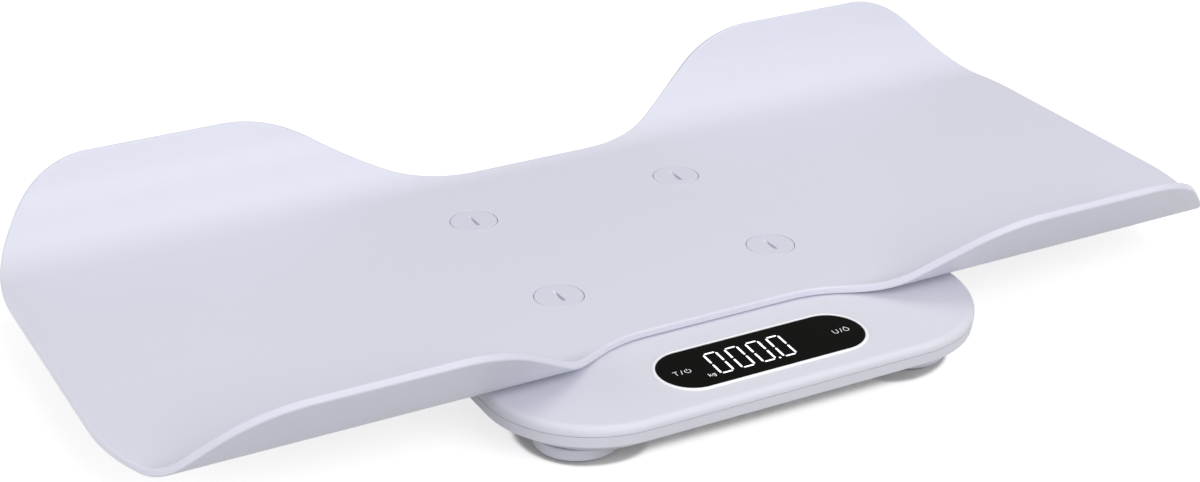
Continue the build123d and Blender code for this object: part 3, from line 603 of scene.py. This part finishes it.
# %% Take the cutter away from the skin
crease = math.radians(35)
cutter_mesh = bpy.data.meshes.new("hole_cutter")
cutter_mesh.from_pydata(cutter_points.tolist(), [], cutter_faces)
cutter_mesh.update()
cutter = bpy.data.objects.new("hole_cutter", cutter_mesh)
bpy.context.scene.collection.objects.link(cutter)
cut = tray_skin.modifiers.new("stepped_holes", "BOOLEAN")
cut.object, cut.operation, cut.solver = cutter, "DIFFERENCE", "EXACT"
bpy.context.view_layer.update()
cut_mesh = bpy.data.meshes.new_from_object(
    tray_skin.evaluated_get(bpy.context.evaluated_depsgraph_get()))
tray_skin.modifiers.clear()
tray_skin.data = cut_mesh
bpy.data.objects.remove(cutter)
cut_mesh.set_sharp_from_angle(angle=crease)
print("tray_skin cut to", len(cut_mesh.polygons), "faces")

# %% [markdown]
# ## The window's bead, with a painted highlight
# The housing's bezel ends in a narrow bead round the window. The tool is polished there, so
# there is next to no grain. Its thin bright line is a painted highlight: the bead's colour is
# painted lighter than the housing's. Its path is an oval of two straight runs and two half
# circles. A curve with a round bevel could follow it, but the real bead is wider than it is
# high. So a low profile is carried along the oval: up from the window, over a crest, and down
# to the housing.


# %% The window's face and its oval
def on_window(flat_points, proud_mm):
    """Points given across and up the slope, in millimetres, laid on the window's face.

    A point is the face's middle, plus its first number along X, plus its second up the
    slope, plus the height that it stands proud, outwards.
    """
    flat_points = np.asarray(flat_points, float)
    return (lens_top + flat_points[..., :1] * MM * np.array([1.0, 0, 0])
            + flat_points[..., 1:] * MM * slope_up + proud_mm * MM * slope_out)


def oval(length, width, count=48):
    """Points and outward directions of an oval, anticlockwise from its lower right corner.

    Each end is a half circle of half the width, whose middle lies half the length less that
    radius from the oval's middle.
    """
    turn = np.concatenate([np.linspace(-0.5, 0.5, count), np.linspace(0.5, 1.5, count)]) * math.pi
    outward = np.stack([np.cos(turn), np.sin(turn)], axis=1)
    end_middle = np.repeat([1.0, -1.0], count)[:, None] * [(length - width) / 2, 0]
    return outward * width / 2 + end_middle, outward


# %% Carry the bead's profile round the window
# each pair is a distance out from the window's edge and a height over the housing's face
bead_profile = np.array([(0.12, 0.0), (0.14, 0.55), (0.3, 0.74), (0.6, 0.82), (1.0, 0.8),
                         (1.4, 0.66), (1.72, 0.36), (1.85, -0.05), (0.9, -0.1)])
window_stand, window_length, window_width = 0.5, 110.7, 33.5
oval_line, oval_out = oval(window_length, window_width)
bead_flat = oval_line[:, None] + bead_profile[None, :, :1] * oval_out[:, None]
bead_rise = np.broadcast_to(bead_profile[None, :, 1:], (*bead_flat.shape[:2], 1))
bead_number = np.arange(bead_rise.size).reshape(bead_rise.shape[:2])
next_round, next_across = np.roll(bead_number, -1, axis=0), np.roll(bead_number, -1, axis=1)
bead_quads = np.stack([bead_number, next_across, np.roll(next_across, -1, axis=0), next_round],
                      axis=-1).reshape(-1, 4)
# polished ABS: sharper than the housing, and painted lighter as a painted highlight, so it draws
# a thin bright line
bead_painted_highlight_abs = moulded("ABS_moulded_polished_bead_painted_highlight", "#FAFBFF", 0.22, 0.6, 0.002)
bead = make_piece("window_bead", on_window(bead_flat, bead_rise - window_stand).reshape(-1, 3),
                  bead_quads, bead_painted_highlight_abs, "base")

# %% [markdown]
# ## The display's digits
# Each figure has seven bars with pointed ends, standing clear of each other. A nought lights
# six of them. A font could write the noughts, but bars of their own have exact sizes and
# gaps. They are drawn as thin hexagons just proud of the window, because a lit segment
# shows through the black print as if it lay on it.


# %% Bars, dots and strokes on the window
def plates(outlines, proud_mm=0.03):
    """Points and faces of thin closed plates from lists of outline points.

    Each plate has an upper face, a lower face level with the window, and a wall between.
    """
    points, faces, first = [], [], 0
    for flat in outlines:
        n = len(flat)
        points += [on_window(flat, proud_mm), on_window(flat, 0.0)]
        i = np.arange(n)
        faces.append((first + i).tolist())
        faces.append((first + n + i[::-1]).tolist())
        walls = np.stack([first + i, first + n + i, first + n + (i + 1) % n,
                          first + (i + 1) % n], axis=-1)
        faces += walls.tolist()
        first += 2 * n
    return np.concatenate(points), faces


def bar(start, end, width):
    """A bar with pointed ends between two points: a hexagon, anticlockwise.

    The two points are its tips. Its four shoulders lie half a width in from the tips and
    half a width to each side.
    """
    start, end = np.array(start, float), np.array(end, float)
    way = (end - start) / np.linalg.norm(end - start)
    side_way = np.array([-way[1], way[0]]) * width / 2
    tip = way * width / 2
    return np.array([start, start + tip - side_way, end - tip - side_way, end,
                     end - tip + side_way, start + tip + side_way])


def disc(centre, radius, count=20):
    """A round dot as a polygon: points at one radius from the centre, at even angles."""
    a = np.linspace(0, 2 * math.pi, count, endpoint=False)
    return np.stack([centre[0] + radius * np.cos(a), centre[1] + radius * np.sin(a)], axis=-1)


# %% Four noughts and their point
digit_height, digit_width, bar_width, bar_gap = 19.3, 7.8, 1.05, 0.5
digit_middles = [-24.0, -12.5, -1.0, 10.5]
digit_centre_y, digit_lean = -0.25, 0.03
point_place, point_radius = (4.3, -9.4), 0.6


def nought(middle_x):
    """The six lit bars of a nought round its middle.

    They are drawn upright, and each point then moves across by its height times the lean.
    """
    x = digit_width / 2 - bar_width / 2
    y = digit_height / 2 - bar_width / 2
    ring_points = np.array([(x, 0), (x, y), (-x, y), (-x, 0), (-x, -y), (x, -y), (x, 0)])
    bars = []
    for start, end in zip(ring_points, ring_points[1:]):
        clear = np.sign(end - start) * bar_gap
        upright = bar(start + clear, end - clear, bar_width)
        bars.append(upright @ [[1, 0], [digit_lean, 1]] + [middle_x, digit_centre_y])
    return bars


digit_bars = [lit_bar for middle_x in digit_middles for lit_bar in nought(middle_x)]
digit_bars.append(disc(point_place, point_radius))
digit_points, digit_faces = plates(digit_bars)
digits = make_piece("display_digits", digit_points, digit_faces, segment_light, "base", False)


# %% [markdown]
# ## Unit and key marks
# The unit under the figures and the marks at both ends are strokes of an even width: a tare
# letter and a power ring at the left, a unit letter and a drop at the right. They could be
# an image on the window, but strokes stay sharp from any distance.


# %% Strokes carried along their lines
def stroke(line, width):
    """An outline of even width round a line of points, with square ends.

    Each side is the line moved by half the width along its normals. The outline runs up one
    side and back down the other.
    """
    line = np.array(line, float)
    along = np.gradient(line, axis=0)
    along /= np.linalg.norm(along, axis=1)[:, None]
    normal = np.stack([-along[:, 1], along[:, 0]], axis=1) * width / 2
    return np.concatenate([line - normal, (line + normal)[::-1]])


def arc(centre, radius, start_deg, end_deg, count=24):
    """Points along an arc: at one radius from the centre, at even angles, in degrees."""
    a = np.radians(np.linspace(start_deg, end_deg, count))
    return np.stack([centre[0] + radius * np.cos(a), centre[1] + radius * np.sin(a)], axis=-1)


# %% The marks
fine, mark_y = 0.32, -0.6


def slash(x):
    """A slanting stroke between two marks of a key, leaning to the right."""
    return stroke([(x - 0.5, mark_y - 1.7), (x + 0.5, mark_y + 1.7)], fine)


marks = [
    # unit: a small k and g
    stroke([(-33.9, -9.7), (-33.9, -7.1)], fine),
    stroke([(-33.7, -8.7), (-32.7, -7.8)], fine),
    stroke([(-33.4, -8.5), (-32.6, -9.7)], fine),
    stroke(arc((-31.4, -8.6), 0.66, 20, 380), fine),
    stroke([(-30.65, -7.8), (-30.65, -9.6)], fine),
    stroke(arc((-31.3, -9.6), 0.66, -10, -150, 12), fine),
    # left key: tare letter, slash, power ring
    stroke([(-48.3, mark_y + 1.6), (-45.8, mark_y + 1.6)], fine),
    stroke([(-47.05, mark_y + 1.5), (-47.05, mark_y - 1.7)], fine),
    slash(-44.1),
    stroke(arc((-40.9, mark_y - 0.1), 1.5, 125, 415), fine),
    stroke([(-40.9, mark_y + 0.2), (-40.9, mark_y + 1.9)], fine),
    # right key: unit letter, slash, drop
    stroke(np.concatenate([[(40.0, mark_y + 1.7)], arc((41.2, mark_y - 0.4), 1.2, 180, 360, 14),
                           [(42.4, mark_y + 1.7)]]), fine),
    slash(44.3),
    stroke(np.concatenate([[(47.1, mark_y + 2.2)], arc((47.1, mark_y - 0.3), 1.35, 150, 390, 20),
                           [(47.1, mark_y + 2.2)]]), fine),
]
mark_points, mark_faces = plates(marks)
print(len(marks), "strokes")
printed_marks = make_piece("display_marks", mark_points, mark_faces, mark_print, "base", False)

# %% [markdown]
# ## Floor
# The floor is matt paper. Towards the camera, in mirrors and through glass it also glows,
# enough to read as white while it keeps the soft shadows. In the last millimetres under the
# object hardly any sky reaches it, and there the glow fades, which leaves the dark line that
# an object stands on. Stronger lamps could make it white as well, but they would burn out
# the plastic with it. From below it is left out, so that the underside can be looked at.

# %% The floor's mesh
floor_half = 6.0
floor_mesh = bpy.data.meshes.new("floor")
floor_mesh.from_pydata([(-floor_half, -floor_half, 0), (floor_half, -floor_half, 0),
                        (floor_half, floor_half, 0), (-floor_half, floor_half, 0)], [],
                       [(0, 1, 2, 3)])
floor = bpy.data.objects.new("floor", floor_mesh)
bpy.context.scene.collection.objects.link(floor)
print("floor", 2 * floor_half, "m wide")

# %% The floor's paper: matt, with a glow for the rays that show it
contact_reach_mm, sky_rays = 13.0, 32
sky_hidden, sky_open, glow_hidden, glow_open = 0.38, 0.47, 0.1, 0.74
floor_paper, floor_output = new_material("paper_matt_white_floor")
seen_by = add_node(floor_paper, "ShaderNodeLightPath")
mirrored = add_node(floor_paper, "ShaderNodeMath",
                    links={0: seen_by.outputs["Is Glossy Ray"],
                           1: seen_by.outputs["Is Transmission Ray"]}, operation="MAXIMUM")
shown = add_node(floor_paper, "ShaderNodeMath",
                 links={0: seen_by.outputs["Is Camera Ray"], 1: mirrored.outputs["Value"]},
                 operation="MAXIMUM")
open_sky = add_node(floor_paper, "ShaderNodeAmbientOcclusion",
                    {"Distance": contact_reach_mm * MM}, samples=sky_rays)
glow = add_node(floor_paper, "ShaderNodeMapRange",
                {"From Min": sky_hidden, "From Max": sky_open,
                 "To Min": glow_hidden, "To Max": glow_open},
                {"Value": open_sky.outputs["AO"]}, interpolation_type="SMOOTHSTEP")
# matt paper: an even grey without a mirror image, which the glow lifts to white
paper = add_node(floor_paper, "ShaderNodeBsdfDiffuse", {"Color": linear("#BCBCBC")})
white = add_node(floor_paper, "ShaderNodeEmission", {"Color": linear("#FFFFFF")},
                 {"Strength": glow.outputs["Result"]})
both = add_node(floor_paper, "ShaderNodeAddShader", None,
                {0: paper.outputs["BSDF"], 1: white.outputs["Emission"]})
choice = add_node(floor_paper, "ShaderNodeMixShader", None,
                  {0: shown.outputs["Value"], 1: paper.outputs["BSDF"],
                   2: both.outputs["Shader"]})

# %% The floor is left out for a camera below it
side = add_node(floor_paper, "ShaderNodeNewGeometry")
from_below = add_node(floor_paper, "ShaderNodeMath",
                      links={0: side.outputs["Backfacing"], 1: seen_by.outputs["Is Camera Ray"]},
                      operation="MULTIPLY")
clear = add_node(floor_paper, "ShaderNodeBsdfTransparent")
one_sided = add_node(floor_paper, "ShaderNodeMixShader", None,
                     {0: from_below.outputs["Value"], 1: choice.outputs["Shader"],
                      2: clear.outputs["BSDF"]})
floor_paper.node_tree.links.new(one_sided.outputs["Shader"], floor_output.inputs["Surface"])
floor_mesh.materials.append(floor_paper)
print(len(floor_paper.node_tree.nodes), "nodes in", floor_paper.name)

# %% [markdown]
# ## Light
# An even sky gives a little under half of the light. A wide lamp above the front, a smaller
# one overhead and a low one at the left give the rest, so that the plastic renders at about
# its written colour and the bends still show. A surrounding image of a studio could light
# it too, but single lamps are easier to size and move. The low lamp is hidden from mirror
# rays, because its glare would wash out the tray for someone who looks from the far end.

# %% Sky and lamps
world = bpy.data.worlds.new("studio")
bpy.context.scene.world = world
world.use_nodes = True
sky_strength = 0.43
sky = world.node_tree.nodes["Background"]
sky.inputs["Color"].default_value = linear("#FFFFFF")
sky.inputs["Strength"].default_value = sky_strength


def soft_lamp(name, place, aim, size, power):
    """A white square area lamp at a place, with its own downward axis turned to a point.

    Place, aim and the side of its square are in metres, and its power is in watts.
    """
    lamp = bpy.data.lights.new(name, "AREA")
    lamp.shape, lamp.size, lamp.energy = "SQUARE", size, power
    holder = bpy.data.objects.new(name, lamp)
    bpy.context.scene.collection.objects.link(holder)
    holder.location = place
    holder.rotation_mode = "QUATERNION"
    holder.rotation_quaternion = (Vector(aim) - Vector(place)).to_track_quat("-Z", "Y")
    return holder


soft_lamp("front_lamp", (0.4, -2.2, 1.6), (0.05, 0, 0), 1.8, 35)
soft_lamp("top_lamp", (0.7, 0.2, 2.3), (0, 0, 0), 1.6, 14)
left_lamp = soft_lamp("left_lamp", (-2.4, -0.2, 0.75), (0, 0, 0), 1.2, 19)
left_lamp.visible_glossy = False
print("sky", sky_strength, "and", len(bpy.data.lights), "lamps")

# %% [markdown]
# ## Camera
# The camera stands a good metre away, low over the front left, with a short telephoto lens.
# A constraint could aim it at an empty. Here its place and its directions make its matrix
# directly, so the scene needs nothing that is only there to be aimed at.

# %% Camera
focal_length, sensor_width = 68.07, 36.0
nearest, farthest = 0.05, 50
camera_data = bpy.data.cameras.new("camera")
camera_data.lens, camera_data.sensor_width = focal_length, sensor_width
camera_x, camera_y, camera_z = -511.99 * MM, -926.92 * MM + pattern_y, 509.99 * MM + tray_floor
camera = bpy.data.objects.new("camera", camera_data)
bpy.context.scene.collection.objects.link(camera)
heading, tilt, roll = math.radians(28.3407), math.radians(25.936), math.radians(0.1326)
forward = Vector((math.sin(heading) * math.cos(tilt), math.cos(heading) * math.cos(tilt),
                  -math.sin(tilt)))
level_right = Vector((math.cos(heading), -math.sin(heading), 0))
level_up = level_right.cross(forward)
right = level_right * math.cos(roll) + level_up * math.sin(roll)
up = level_up * math.cos(roll) - level_right * math.sin(roll)
camera.matrix_world = Matrix((
    (right.x, up.x, -forward.x, camera_x), (right.y, up.y, -forward.y, camera_y),
    (right.z, up.z, -forward.z, camera_z), (0, 0, 0, 1)))
camera_data.clip_start, camera_data.clip_end = nearest, farthest
bpy.context.scene.camera = camera
bpy.context.scene.view_settings.view_transform = "Standard"
print("camera at", [round(v, 3) for v in camera.matrix_world.translation])
